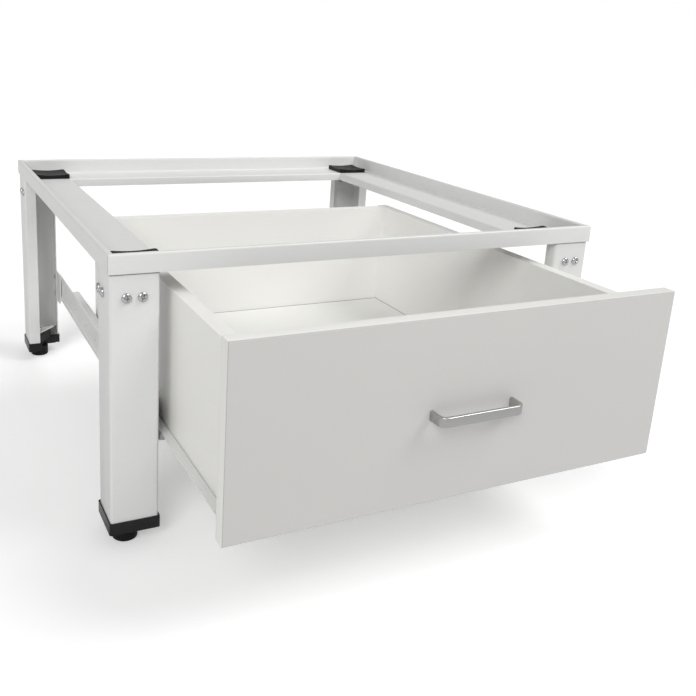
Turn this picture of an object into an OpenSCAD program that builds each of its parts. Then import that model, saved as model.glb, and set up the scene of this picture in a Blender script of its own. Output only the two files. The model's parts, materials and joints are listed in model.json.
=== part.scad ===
// Pedestal for a washing machine or dryer: a folded steel stand on four angle legs,
// with a laundry drawer on roller slides below the machine.
// Millimetres. +Z is up, the drawer opens towards -Y, and the floor is z = 0.
// The origin is on the floor, in the middle of the whole piece with its drawer open.

/* [Top frame] */
// Width over the outer faces of the frame
frame_w = 600; // [560:5:660]
// Depth over the outer faces of the frame
frame_d = 600; // [540:5:660]
// Height of the rim's upper edge above the floor
frame_h = 314; // [294:5:364]
// Thickness of the frame's folded sheet
frame_t = 1.2; // [1:0.1:1.4]
// Inner radius of the folds in the frame
fold_r = 1; // [0.6:0.1:1.4]
// Height of the raised rim above the shelf
rim_h = 20; // [14:1:26]
// Width of the rim's flat top
rim_w = 7; // [6.5:0.5:10]
// Width of a rail, from its outer face to the shelf's inner edge
shelf_w = 67.5; // [66:0.5:80]
// Height of the flange turned down at the shelf's inner edge
flange_h = 12; // [8:1:16]
// Width of the joint line between two mitred rails
mitre_gap = 0.3; // [0.1:0.1:0.6]

/* [Legs] */
// Width of each of a leg's two faces
leg_w = 50; // [46:1:52]
// Thickness of the leg's folded sheet
leg_t = 1.5; // [1.2:0.1:1.6]
// Inner radius of the folds in a leg
leg_fold_r = 1.5; // [1:0.1:2]
// Depth of the return lip along each free edge of a leg
leg_lip = 16; // [14:1:18]
// Distance from the rim's outer face in to the leg's outer face
leg_inset = 1.5; // [1.4:0.1:2]
// Distance of the leg screws below the shelf
leg_screw_drop = 24; // [18:1:30]
// Distance from the rim's outer face to the first screw on a leg's front or rear face
end_screw_x = 18; // [12:1:20]
// Distance from the rim's outer face to the first screw on a leg's side face
side_screw_y = 27; // [20:1:28]
// Distance between the two screws of a pair
screw_pitch = 16; // [12:1:17]
// Thickness of the corner brackets that the leg screws hold
bracket_t = 2; // [1.5:0.5:2.5]
// Height of a corner bracket's tabs below the shelf
bracket_h = 38; // [34:1:46]
// Height of a corner bracket's tabs above the shelf, inside the hollow rim
bracket_rise = 16; // [8:1:17]

/* [Feet] */
// Diameter of a foot
foot_d = 26.5; // [24:0.5:28]
// Height of a foot below its cap
foot_h = 15; // [11:1:18]
// Height of the skirt of a foot cap
cap_h = 13.4; // [10:0.2:18]
// Wall of a foot cap
cap_wall = 1.4; // [1:0.1:1.4]
// Thickness of a foot cap's floor
cap_floor = 2; // [1.6:0.2:3]
// Distance of the foot's axis from the outer faces
foot_in = 20.5; // [18:0.5:22]
// Height of the gusset plate above the floor
gusset_z = 40; // [34:1:48]
// Thickness of the gusset plate
gusset_t = 2; // [1.5:0.5:3]

/* [Pads] */
// Width of a rubber pad
pad_w = 50; // [40:1:50]
// Distance from the outer faces in to a pad
pad_in = 16.5; // [10:0.5:17]
// Height of a pad at its corners
pad_h = 7; // [6:0.5:11]
// Depth of the pad's dished top below its corners
pad_dish = 3; // [1:0.5:4]
// Diameter of the flat floor of the dish
pad_flat = 24; // [16:1:30]
// Corner radius of a pad
pad_r = 4; // [2:0.5:8]

/* [Drawer] */
// How far the drawer stands open
drawer_open = 184; // [0:4:400]
// Height of the drawer's lower edge above the floor
drawer_z = 101; // [96:1:114]
// Gap between the drawer front and a leg
panel_gap = 1; // [0.8:0.1:3]
// Gap between the drawer front and the shelf above it
panel_top_gap = 6; // [3:0.5:10]
// Distance from the rim's outer face back to the closed drawer front
panel_set = 3.8; // [0:0.2:6]
// Thickness of the drawer front
panel_t = 15; // [14:1:19]
// Width of the eased front edges of the drawer front
panel_ease = 1; // [0.4:0.2:2]
// Thickness of the drawer's sides and back
board_t = 15; // [12:1:16]
// Drop from the drawer front's upper edge to the sides
side_drop = 17.5; // [10:0.5:30]
// Drop from the sides' upper edge to the back's
back_drop = 1; // [0:0.5:20]
// Free space behind the closed drawer
rear_space = 43; // [36:1:60]
// Thickness of the drawer floor
floor_t = 4; // [3:0.5:6]
// Height of the drawer floor above the drawer's lower edge
floor_up = 14; // [10:1:20]
// Depth of the grooves that hold the drawer floor
groove = 6; // [4:0.5:8]
// Diameter of the dowels in the drawer's joints
dowel_d = 8; // [6:1:8]
// Length of the dowels
dowel_l = 30; // [24:2:36]

/* [Handle] */
// Width over the handle
handle_w = 96; // [80:2:160]
// Height of the handle's flat bar
handle_h = 10; // [8:1:14]
// Thickness of the flat bar
handle_t = 4; // [4:0.5:6]
// Inner radius of the bar's bends
handle_r = 5; // [3:0.5:8]
// Reach of the handle in front of the drawer front
handle_reach = 20; // [18:1:32]
// Distance of the handle's middle below the drawer front's upper edge
handle_drop = 94.5; // [30:0.5:130]
// Diameter of the handle's screws
handle_screw_d = 3; // [2.5:0.5:3]

/* [Slides] */
// Space for a slide between a leg and the drawer's side
slide_gap = 16.7; // [16.4:0.1:20]
// Height of the fixed rail's underside above the floor
rail_z = 92.5; // [88:0.5:93]
// Height of the fixed rail
rail_h = 43; // [40:1:48]
// Thickness of the rails' sheet
rail_t = 1.2; // [1:0.1:1.3]
// Inner radius of the folds in the rails
rail_fold_r = 0.8; // [0.6:0.1:0.9]
// Depth of the sunk band along the fixed rail
band_in = 1; // [0.9:0.1:1.1]
// Width of the plain strip above and below the sunk band
band_edge = 7; // [6:0.5:7.5]
// Height of the lip along the fixed rail's lower flange
lip_low = 4; // [3:0.5:5]
// Length at the front where the fixed rail has no flanges, beside the front roller
rail_nose = 26; // [24:1:30]
// Length at the rear where the fixed rail has no upper flange
rail_open = 105; // [60:5:150]
// Distance from the frame's rear face to the fixed rail's end
rail_end = 30; // [22:1:34]
// Diameter of the holes along the fixed rail
rail_hole_d = 5; // [4:0.5:6]
// Thickness of the plates that hold the fixed rails
plate_t = 1.5; // [1.2:0.1:1.6]
// Depth of the rear plates below the fixed rails
plate_drop = 6.5; // [2:0.5:12]
// Distance from a fixed rail's edges to the screws of its front plate
plate_screw_in = 12; // [10:1:14]
// Distance between the two screws of a rear plate
rear_pitch = 28; // [20:1:30]
// Diameter of the front rollers, on the fixed rails
front_roller_d = 15; // [14:0.5:16]
// Diameter of the rear rollers, on the drawer rails
roller_d = 20; // [19.8:0.1:20.6]
// Width of the rollers
roller_w = 6; // [5:0.5:6]
// Diameter of the rollers' axles
axle_d = 4; // [3:0.5:4]
// Width of the drawer rail's running flange
runner_w = 10.2; // [9:0.2:11]
// Width of the drawer rail's flange under the drawer's side
sole_w = 12; // [8:1:14]

/* [Screws] */
// Diameter of the leg screws
leg_screw_d = 5; // [4:0.5:5]
// Diameter of the heads of the leg screws
leg_head_d = 10; // [8:0.5:11]
// Height of the heads of the leg screws
leg_head_h = 3.2; // [1.4:0.1:3.6]
// Height of the heads of the slide screws
head_h = 1.4; // [1:0.1:1.4]
// Diameter of the slide screws
rail_screw_d = 4; // [3:0.5:4]
// Diameter of the heads of the slide screws
rail_head_d = 8; // [7:0.5:9]
// Length of the screws in the drawer's sides
side_screw_l = 12; // [10:1:16]
// Diameter of the screws that hold the foot caps
cap_screw_d = 5; // [4:0.5:6]
// Length of the screws in the foot caps
cap_screw_l = 12; // [8:1:16]

/* [Fits] */
// Clearance between a roller's bore and its axle, all round
axle_play = 0.05; // [0.02:0.01:0.08]
// Clearance that keeps the rollers off the tracks
track_play = 0.3; // [0.25:0.05:0.5]
// Clearance at each side of a roller on its axle
side_play = 0.2; // [0.15:0.05:0.3]
// Clearance between a leg and its foot cap
cap_play = 0.1; // [0.05:0.05:0.2]
// Clearance of the drawer floor in its grooves
groove_play = 0.2; // [0.1:0.1:0.4]
// Clearance of screws in plain holes, all round
hole_play = 0.25; // [0.1:0.05:0.4]

/* [Hidden] */
$fn = 48;

// Steps in each fold of a sheet, and in the handle's wider bends
fold_steps = 4;
bend_steps = 10;

// Heights
shelf_z = frame_h - rim_h;
shelf_under = shelf_z - frame_t;
panel_top = shelf_under - panel_top_gap;
side_top = panel_top - side_drop;
back_top = side_top - back_drop;
floor_z = drawer_z + floor_up;
leg_z = foot_h + cap_floor;
screw_z = shelf_z - leg_screw_drop;

// Widths, from the middle plane
bay_half = frame_w / 2 - leg_inset - leg_w;
panel_half = bay_half - panel_gap;
box_half = bay_half - slide_gap;
inner_half = box_half - board_t;

// Depths of the closed drawer, from the frame's front face
panel_back = panel_set + panel_t;
box_rear = frame_d - rear_space;
back_front = box_rear - board_t;

// The whole piece is centred on the origin with its drawer open. The heads of the leg
// screws stand out past the frame
head_out = max(leg_head_h - leg_inset, 0);
overhang = drawer_open - panel_set + handle_reach;
stand_y = (max(overhang, head_out) - frame_d - head_out) / 2;

// The slides: s counts inwards from the leg's inner plane
web_s = plate_t + rail_t / 2;
axle_head = 0.8;
roller_s = plate_t + rail_t + band_in + track_play + axle_head + side_play;
lip_s = roller_s + roller_w + track_play + rail_t / 2;
roller_z = rail_z + rail_t + track_play + roller_d / 2;
runner_z = roller_z + roller_d / 2 + track_play + rail_t / 2;
rail_top = rail_z + rail_h;
lip_high_z = runner_z + rail_t / 2 + 1;
front_roller_z = runner_z - rail_t / 2 - track_play - front_roller_d / 2;
front_roller_s = slide_gap - rail_t - track_play - axle_head - side_play - roller_w;
rail_y0 = panel_back + 1.2;
rail_y1 = frame_d - rail_end;
front_roller_y = rail_y0 + 12;
drawer_roller_y = box_rear - roller_d / 2 - 7;
rail_holes = [60, 130, 224, 313, 370, 445];
drawer_rail_screws_at = [60, 250, 440];

// Heights of the screws that hold the slides to the front and rear legs
front_plate_z = [rail_z + plate_screw_in, rail_z + rail_h - plate_screw_in];
rear_plate_z = [rail_z + 4, rail_z + 4 + rear_pitch];
lip_mid = leg_inset + leg_lip / 2;

// Length of the leg screws past the corner brackets
leg_screw_past = 4;

// Offsets of the leg screws along a leg's two faces
end_screws = [end_screw_x, end_screw_x + screw_pitch];
side_screws = [side_screw_y, side_screw_y + screw_pitch];

white = [0.93, 0.93, 0.92];
board_white = [0.9, 0.89, 0.87];
black = [0.13, 0.13, 0.13];
zinc = [0.72, 0.73, 0.74];
satin = [0.68, 0.68, 0.67];
grey = [0.8, 0.8, 0.79];
wood = [0.8, 0.68, 0.5];

// Sections of folded sheet

// Left-hand normal of a direction
function normal(v) = [-v.y, v.x] / norm(v);

function reverse(v) = [for (i = [len(v) - 1:-1:0]) v[i]];

// One side of a fold at point i of a path: side is 1 on the left and -1 on the right
function fold_arc(path, i, side, t, r, steps) =
    let (
        n1 = normal(path[i] - path[i - 1]),
        n2 = normal(path[i + 1] - path[i]),
        turn = sign(n1.x * n2.y - n1.y * n2.x),
        mid_r = r + t / 2,
        centre = path[i] + turn * mid_r * (n1 + n2) / (1 + n1 * n2),
        rho = mid_r - side * turn * t / 2,
        start = atan2(n1.y, n1.x),
        sweep = turn * acos(n1 * n2)
    )
    [for (k = [0:steps])
        centre - turn * rho * [cos(start + sweep * k / steps), sin(start + sweep * k / steps)]];

function fold_side(path, side, t, r, steps) = [
    path[0] + side * t / 2 * normal(path[1] - path[0]),
    for (i = [1:len(path) - 2]) each fold_arc(path, i, side, t, r, steps),
    path[len(path) - 1] + side * t / 2 * normal(path[len(path) - 1] - path[len(path) - 2])
];

// Section of a sheet of thickness t whose middle line follows the path, with inner fold radius r
module folded(path, t, r, steps = fold_steps)
    polygon(concat(fold_side(path, 1, t, r, steps), reverse(fold_side(path, -1, t, r, steps))));

// Places

// A section drawn as (depth, height), run along X about the middle plane
module along_x(len)
    translate([-len / 2, 0, 0]) rotate([90, 0, 90]) linear_extrude(len) children();

// A section drawn as (width, height), run along Y from y0 to y1
module along_y(y0, y1)
    translate([0, y1, 0]) rotate([90, 0, 0]) linear_extrude(y1 - y0) children();

module on_stand() translate([0, stand_y, 0]) children();

module on_drawer() translate([0, stand_y - drawer_open, 0]) children();

// Corner frame: x and y count inwards from the outer faces at one corner
module at_corner(right, rear)
    on_stand()
        translate([right ? frame_w / 2 : -frame_w / 2, rear ? frame_d : 0, 0])
            mirror([right ? 1 : 0, 0, 0])
                mirror([0, rear ? 1 : 0, 0])
                    children();

// Slide frame: x counts inwards from the leg's inner plane, y from the frame's front face
module at_slide(right)
    mirror([right ? 1 : 0, 0, 0]) translate([-bay_half, 0, 0]) children();

module each_corner()
    for (right = [false, true], rear = [false, true])
        at_corner(right, rear) children();

module each_slide()
    for (right = [false, true])
        at_slide(right) children();

// A screw that points along +Z from the underside of its head at z = 0
module screw(d, head_d, head, len) {
    // Radius of the ball whose cap is the head
    dome_r = head_d * head_d / 8 / head + head / 2;
    cylinder(h = len, d = d);
    rotate_extrude()
        intersection() {
            translate([0, -head]) square([head_d / 2, head]);
            translate([0, dome_r - head]) circle(r = dome_r, $fn = 96);
        }
}

// Top frame: rim, shelf and down-turned flange are one folded strip
module rail_section()
    folded([
        [frame_t / 2, shelf_z],
        [frame_t / 2, frame_h - frame_t / 2],
        [rim_w - frame_t / 2, frame_h - frame_t / 2],
        [rim_w - frame_t / 2, shelf_z - frame_t / 2],
        [shelf_w - frame_t / 2, shelf_z - frame_t / 2],
        [shelf_w - frame_t / 2, shelf_z - flange_h]
    ], frame_t, fold_r);

module end_rail()
    color(white)
        intersection() {
            along_x(frame_w) rail_section();
            linear_extrude(frame_h + 1)
                polygon([
                    [-frame_w / 2 + mitre_gap, 0],
                    [frame_w / 2 - mitre_gap, 0],
                    [frame_w / 2 - shelf_w - mitre_gap, shelf_w],
                    [-frame_w / 2 + shelf_w + mitre_gap, shelf_w]
                ]);
        }

module side_rail()
    color(white)
        translate([-frame_w / 2, 0, 0])
            intersection() {
                along_y(0, frame_d) rail_section();
                linear_extrude(frame_h + 1)
                    polygon([
                        [0, 0],
                        [shelf_w, shelf_w],
                        [shelf_w, frame_d - shelf_w],
                        [0, frame_d]
                    ]);
            }

module front_rail() on_stand() end_rail();
module rear_rail() on_stand() translate([0, frame_d, 0]) mirror([0, 1, 0]) end_rail();
module left_rail() on_stand() side_rail();
module right_rail() on_stand() mirror([1, 0, 0]) side_rail();

// Corner brackets: an angle inside the leg and the hollow rim, with a plate under the shelves
leg_in = leg_inset + leg_t;
leg_far = leg_inset + leg_w - leg_t;

module corner_bracket() {
    mid = leg_in + bracket_t / 2;
    end = leg_far - leg_fold_r;
    color(white)
        difference() {
            union() {
                translate([0, 0, shelf_under - bracket_h])
                    linear_extrude(bracket_h + bracket_rise)
                        folded([[end, mid], [mid, mid], [mid, end]], bracket_t, 1);
                translate([0, 0, shelf_under - bracket_t])
                    linear_extrude(bracket_t)
                        polygon([
                            [mid, mid], [end, mid], [end, end / 2], [end / 2, end], [mid, end]
                        ]);
            }
            leg_screw_holes(leg_screw_d / 2);
        }
}

// Holes for the screws through both faces of a leg
module leg_screw_holes(r) {
    for (x = end_screws)
        translate([x, leg_inset - 1, screw_z]) rotate([-90, 0, 0]) cylinder(h = 10, r = r);
    for (y = side_screws)
        translate([leg_inset - 1, y, screw_z]) rotate([0, 90, 0]) cylinder(h = 10, r = r);
}

// Legs: an angle with a return lip along each free edge
module leg(plate_heights) {
    near = leg_inset + leg_t / 2;
    far = leg_inset + leg_w - leg_t / 2;
    lip_end = leg_inset + leg_lip;
    color(white)
        difference() {
            translate([0, 0, leg_z])
                linear_extrude(shelf_under - leg_z)
                    folded([
                        [far, lip_end], [far, near], [near, near], [near, far], [lip_end, far]
                    ], leg_t, leg_fold_r);
            leg_screw_holes(leg_screw_d / 2 + hole_play);
            for (z = plate_heights)
                translate([leg_far - 1, lip_mid, z])
                    rotate([0, 90, 0])
                        cylinder(h = leg_t + 2, d = rail_screw_d);
        }
}

// Gussets: a three-cornered plate across the foot of each leg, with a hole and a slot
module gusset() {
    end = leg_far - 0.5;
    cut = leg_fold_r;
    color(white)
        translate([0, 0, gusset_z])
            linear_extrude(gusset_t)
                difference() {
                    polygon([
                        [leg_in + cut, leg_in], [end - cut, leg_in], [end, leg_in + cut],
                        [end, leg_in + 6], [leg_in + 6, end],
                        [leg_in + cut, end], [leg_in, end - cut], [leg_in, leg_in + cut]
                    ]);
                    translate([foot_in, foot_in]) circle(d = cap_screw_d + 2 * hole_play);
                    translate([foot_in + 9, leg_in + 6]) square([8, 4]);
                    translate([foot_in + 9, leg_in + 8]) circle(d = 4);
                    translate([foot_in + 17, leg_in + 8]) circle(d = 4);
                }
}

// Foot caps: a moulded angle that closes the leg's lower end, with a boss for foot and screw
cap_out = leg_inset - cap_play - cap_wall;
cap_far = leg_inset + leg_w + cap_play + cap_wall;
cap_arm = leg_inset + leg_lip + cap_play + cap_wall;
cap_turn = cap_arm + 4;
web_far = cap_far - 14;
web_low = foot_h + 10;
spigot_d = 9;
spigot_r = spigot_d / 2 - cap_play;
spigot_l = 8;
boss_d = 13;

// Plan of the cap, drawn in by a wall
module cap_plan(wall) {
    a = cap_out + wall;
    b = cap_far - wall;
    c = cap_arm - wall;
    d = cap_turn - wall / 2;
    polygon([
        [a + 1.5, a], [b - 1, a], [b, a + 1], [b, c], [d, c],
        [c, d], [c, b], [a + 1, b], [a, b - 1], [a, a + 1.5]
    ]);
}

module foot_cap()
    color(black)
        difference() {
            union() {
                translate([0, 0, foot_h])
                    linear_extrude(cap_h)
                        difference() {
                            cap_plan(0);
                            cap_plan(cap_wall);
                        }
                translate([0, 0, foot_h]) linear_extrude(cap_floor) cap_plan(0);
                // A slanted web joins the arms and goes up to the gusset
                translate([0, 0, web_low])
                    linear_extrude(gusset_z - web_low)
                        polygon([
                            [web_far, cap_arm - cap_wall], [web_far, cap_arm],
                            [cap_arm, web_far], [cap_arm - cap_wall, web_far],
                            [cap_arm - cap_wall, web_far - cap_wall],
                            [web_far - cap_wall, cap_arm - cap_wall]
                        ]);
                translate([foot_in, foot_in, foot_h]) cylinder(h = gusset_z - foot_h, d = boss_d);
                // Ribs that brace the boss along both arms
                translate([foot_in, foot_in - 0.75, foot_h]) cube([leg_w - foot_in - 4, 1.5, cap_h - 2]);
                translate([foot_in - 0.75, foot_in, foot_h]) cube([1.5, leg_w - foot_in - 4, cap_h - 2]);
            }
            translate([foot_in, foot_in, foot_h - 1]) cylinder(h = spigot_l + 2, d = spigot_d);
            translate([foot_in, foot_in, foot_h]) cylinder(h = gusset_z, d = cap_screw_d);
        }

// Feet: a round glide with a spigot that plugs into the cap's boss
module foot()
    color(black)
        translate([foot_in, foot_in, 0])
            rotate_extrude()
                polygon([
                    [0, 0], [foot_d / 2 - 1.2, 0], [foot_d / 2, 1.2], [foot_d / 2, foot_h - 0.8],
                    [foot_d / 2 - 0.6, foot_h - 0.2], [foot_d / 2 - 0.6, foot_h],
                    [spigot_r, foot_h], [spigot_r, foot_h + spigot_l - 1],
                    [spigot_r - 1, foot_h + spigot_l], [0, foot_h + spigot_l]
                ]);

// Pads: square rubber with rounded corners and a dished top
module pad() {
    // The ball that meets the pad's corners and the rim of the dish's flat floor
    half_diagonal = pad_w / 2 * sqrt(2) - pad_r * (sqrt(2) - 1);
    flat_r = pad_flat / 2;
    ball_up = (half_diagonal * half_diagonal + pad_dish * pad_dish - flat_r * flat_r) / (2 * pad_dish);
    ball_r = norm([flat_r, ball_up]);
    mid = pad_in + pad_w / 2;
    color(black)
        translate([mid, mid, shelf_z])
            difference() {
                linear_extrude(pad_h) rounded_square(pad_w, pad_r);
                intersection() {
                    translate([0, 0, pad_h - pad_dish + ball_up]) sphere(r = ball_r, $fn = 96);
                    translate([-pad_w, -pad_w, pad_h - pad_dish]) cube([2 * pad_w, 2 * pad_w, pad_h]);
                }
            }
}

module rounded_square(w, r) {
    square([w, w - 2 * r], center = true);
    square([w - 2 * r, w], center = true);
    for (x = [-1, 1], y = [-1, 1])
        translate([x * (w / 2 - r), y * (w / 2 - r)]) circle(r = r);
}

module leg_screws()
    color(zinc)
        each_corner() {
            for (x = end_screws)
                translate([x, leg_inset, screw_z])
                    rotate([-90, 0, 0])
                        screw(leg_screw_d, leg_head_d, leg_head_h, leg_t + bracket_t + leg_screw_past);
            for (y = side_screws)
                translate([leg_inset, y, screw_z])
                    rotate([0, 90, 0])
                        screw(leg_screw_d, leg_head_d, leg_head_h, leg_t + bracket_t + leg_screw_past);
        }

module foot_screws()
    color(zinc)
        each_corner()
            translate([foot_in, foot_in, gusset_z + gusset_t])
                rotate([180, 0, 0])
                    screw(cap_screw_d, cap_screw_d * 2, cap_screw_d / 2, gusset_t + cap_screw_l);

// Fixed rails of the slides: a lipped channel with a sunk band, open towards the drawer
module slide_rail() {
    low = rail_z + rail_t / 2;
    high = rail_top - rail_t / 2;
    band_low = rail_z + band_edge;
    band_high = rail_top - band_edge;
    web = [
        [web_s, band_low], [web_s + band_in, band_low + band_in],
        [web_s + band_in, band_high - band_in], [web_s, band_high]
    ];
    color(white)
        difference() {
            union() {
                along_y(rail_y0, rail_y0 + rail_nose)
                    folded(concat([[web_s, rail_z]], web, [[web_s, rail_top]]), rail_t, rail_fold_r);
                along_y(rail_y0 + rail_nose, rail_y1 - rail_open)
                    folded(concat(
                        [[lip_s, rail_z + lip_low], [lip_s, low], [web_s, low]],
                        web,
                        [[web_s, high], [lip_s, high], [lip_s, lip_high_z]]
                    ), rail_t, rail_fold_r);
                along_y(rail_y1 - rail_open, rail_y1)
                    folded(concat(
                        [[lip_s, rail_z + lip_low], [lip_s, low], [web_s, low]],
                        web,
                        [[web_s, rail_top]]
                    ), rail_t, rail_fold_r);
            }
            for (y = rail_holes)
                translate([0, y, rail_z + rail_h / 2])
                    rotate([0, 90, 0])
                        cylinder(h = roller_s, d = rail_hole_d);
            translate([0, front_roller_y, front_roller_z])
                rotate([0, 90, 0])
                    cylinder(h = roller_s, d = axle_d);
        }
}

// Plates that carry the fixed rails: a joggled one behind the front leg's lip,
// and a flat one on the rear leg's lip, deeper than the rail
module rail_plates()
    color(white)
        on_stand()
            each_slide() {
                front_plate();
                rear_plate();
            }

module front_plate() {
    joggle_y = rail_y0 + plate_t / 2;
    difference() {
        translate([0, 0, rail_z])
            linear_extrude(rail_h)
                folded([
                    [-leg_t - plate_t / 2, leg_inset + 3],
                    [-leg_t - plate_t / 2, joggle_y],
                    [plate_t / 2, joggle_y],
                    [plate_t / 2, joggle_y + 30]
                ], plate_t, (leg_t + plate_t) / 2 - plate_t / 2 - 0.1);
        for (z = front_plate_z)
            translate([-leg_t - plate_t - 1, lip_mid, z])
                rotate([0, 90, 0])
                    cylinder(h = plate_t + 2, d = rail_screw_d + 2 * hole_play);
    }
}

module rear_plate() {
    start = rail_y1 - 14;
    rear = frame_d - leg_in - leg_fold_r;
    difference() {
        rotate([90, 0, 90])
            linear_extrude(plate_t)
                polygon([
                    [start, rail_z], [start + 1.5 * plate_drop, rail_z - plate_drop],
                    [rear, rail_z - plate_drop], [rear, rail_top], [start, rail_top]
                ]);
        for (z = rear_plate_z)
            translate([-1, frame_d - lip_mid, z])
                rotate([0, 90, 0])
                    cylinder(h = plate_t + 2, d = rail_screw_d);
    }
}

module rail_screws()
    color(zinc)
        on_stand()
            each_slide() {
                for (z = front_plate_z)
                    translate([-leg_t - plate_t, lip_mid, z])
                        rotate([0, 90, 0])
                            screw(rail_screw_d, rail_head_d, head_h, plate_t + leg_t);
                for (z = rear_plate_z)
                    translate([-leg_t, frame_d - lip_mid, z])
                        rotate([0, 90, 0])
                            screw(rail_screw_d, rail_head_d, head_h, plate_t + leg_t + 2);
            }

// A riveted axle along +X: tail through the sheet, shoulder, shank in the roller, and head
module axle(shoulder) {
    rotate([0, 90, 0])
        rotate_extrude()
            polygon([
                [0, 0], [axle_d / 2, 0], [axle_d / 2, rail_t],
                [axle_d / 2 + 1.5, rail_t], [axle_d / 2 + 1.5, rail_t + shoulder],
                [axle_d / 2, rail_t + shoulder],
                [axle_d / 2, rail_t + shoulder + roller_w + 2 * side_play],
                [axle_d / 2 + 1.2, rail_t + shoulder + roller_w + 2 * side_play],
                [axle_d / 2 + 1.2, rail_t + shoulder + roller_w + 2 * side_play + axle_head],
                [0, rail_t + shoulder + roller_w + 2 * side_play + axle_head]
            ]);
}

module rail_axles() {
    start = plate_t + band_in;
    color(zinc)
        on_stand()
            each_slide()
                translate([start, front_roller_y, front_roller_z])
                    axle(front_roller_s - side_play - start - rail_t);
}

module drawer_axles() {
    color(zinc)
        on_drawer()
            each_slide()
                translate([slide_gap, drawer_roller_y, roller_z])
                    mirror([1, 0, 0])
                        axle(slide_gap - rail_t - roller_s - roller_w - side_play);
}

// Rollers: a plastic wheel with a hub, a thin web and a rim with eased edges
module roller(d) {
    r = d / 2;
    hub = axle_d / 2 + 1.5;
    dip = 1.5;
    color(grey)
        rotate([0, 90, 0])
            rotate_extrude()
                polygon([
                    [axle_d / 2 + axle_play, 0], [hub, 0], [hub + 0.5, dip], [r - 2.5, dip],
                    [r - 2, 0], [r - 0.8, 0], [r, 0.8],
                    [r, roller_w - 0.8], [r - 0.8, roller_w], [r - 2, roller_w],
                    [r - 2.5, roller_w - dip], [hub + 0.5, roller_w - dip], [hub, roller_w],
                    [axle_d / 2 + axle_play, roller_w]
                ]);
}

module rail_roller(right)
    on_stand()
        at_slide(right)
            translate([front_roller_s, front_roller_y, front_roller_z])
                roller(front_roller_d);

module drawer_roller(right)
    on_drawer()
        at_slide(right)
            translate([roller_s, drawer_roller_y, roller_z])
                roller(roller_d);

// Drawer rails: sole under the side, web beside it, and the flange that runs on the front roller
module drawer_rail(right) {
    web = slide_gap - rail_t / 2;
    color(white)
        on_drawer()
            at_slide(right)
                difference() {
                    along_y(panel_back, box_rear)
                        folded([
                            [slide_gap + sole_w, drawer_z - rail_t / 2],
                            [web, drawer_z - rail_t / 2],
                            [web, runner_z],
                            [slide_gap - runner_w, runner_z]
                        ], rail_t, rail_fold_r);
                    translate([web - 1, drawer_roller_y, roller_z])
                        rotate([0, 90, 0])
                            cylinder(h = rail_t + 2, d = axle_d);
                    for (y = drawer_rail_screws_at)
                        translate([slide_gap + board_t / 2, panel_back + y, drawer_z - rail_t - 1])
                            cylinder(h = rail_t + 2, d = rail_screw_d);
                }
}

module drawer_rail_screws()
    color(zinc)
        on_drawer()
            each_slide()
                for (y = drawer_rail_screws_at)
                    translate([slide_gap + board_t / 2, panel_back + y, drawer_z - rail_t])
                        screw(rail_screw_d, rail_head_d, head_h, rail_t + side_screw_l);

// Drawer front: a board with eased front edges, grooved for the floor
module drawer_front() {
    e = panel_ease;
    color(board_white)
        on_drawer()
            difference() {
                intersection() {
                    translate([0, 0, drawer_z])
                        linear_extrude(panel_top - drawer_z)
                            polygon([
                                [-panel_half, panel_set + e], [-panel_half + e, panel_set],
                                [panel_half - e, panel_set], [panel_half, panel_set + e],
                                [panel_half, panel_back], [-panel_half, panel_back]
                            ]);
                    along_x(2 * panel_half)
                        polygon([
                            [panel_set, drawer_z + e], [panel_set + e, drawer_z],
                            [panel_back, drawer_z], [panel_back, panel_top],
                            [panel_set + e, panel_top], [panel_set, panel_top - e]
                        ]);
                }
                floor_space(groove_play);
                front_dowels();
                for (x = handle_screw_x)
                    translate([x, panel_set - 1, handle_z])
                        rotate([-90, 0, 0])
                            cylinder(h = panel_t + 2, d = handle_screw_d + 2 * hole_play);
            }
}

// The floor's own space, grown by the play of its grooves
module floor_space(play)
    translate([-inner_half - groove, panel_back - groove, floor_z - play / 2])
        cube([
            2 * (inner_half + groove),
            back_front - panel_back + 2 * groove,
            floor_t + play
        ]);

module drawer_floor()
    color(board_white)
        on_drawer()
            floor_space(0);

// Drawer sides: their lower outer edges are eased for the drawer rails' folds
module drawer_side(right)
    color(board_white)
        on_drawer()
            difference() {
                mirror([right ? 1 : 0, 0, 0])
                    along_y(panel_back, box_rear)
                        polygon([
                            [-box_half + rail_fold_r, drawer_z], [-inner_half, drawer_z],
                            [-inner_half, side_top], [-box_half, side_top],
                            [-box_half, drawer_z + rail_fold_r]
                        ]);
                floor_space(groove_play);
                front_dowels();
                back_dowels();
                each_slide()
                    for (y = drawer_rail_screws_at)
                        translate([slide_gap + board_t / 2, panel_back + y, drawer_z - 1])
                            cylinder(h = side_screw_l + 1, d = rail_screw_d);
            }

module drawer_back()
    color(board_white)
        on_drawer()
            difference() {
                translate([-inner_half, back_front, drawer_z])
                    cube([2 * inner_half, board_t, back_top - drawer_z]);
                floor_space(groove_play);
                back_dowels();
            }

// Dowels at three heights of each joint
dowel_z = [
    floor_z + floor_t + 14,
    (floor_z + floor_t + back_top) / 2,
    back_top - 18
];
dowel_in_side = board_t - 5;
dowel_in_front = panel_t - 5;

module front_dowels()
    for (side = [-1, 1], z = dowel_z)
        translate([side * (box_half - board_t / 2), panel_back - dowel_in_front, z])
            rotate([-90, 0, 0])
                cylinder(h = dowel_l, d = dowel_d);

module back_dowels()
    for (side = [-1, 1], z = dowel_z)
        translate([side * (inner_half + dowel_in_side), back_front + board_t / 2, z])
            rotate([0, -90 * side, 0])
                cylinder(h = dowel_l, d = dowel_d);

module drawer_dowels()
    color(wood)
        on_drawer() {
            front_dowels();
            back_dowels();
        }

// Handle: a flat bar bent into a wide U, screwed on through the drawer front
handle_z = panel_top - handle_drop;
handle_end = handle_w / 2 - handle_t / 2;
handle_screw_x = [-handle_end, handle_end];

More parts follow.
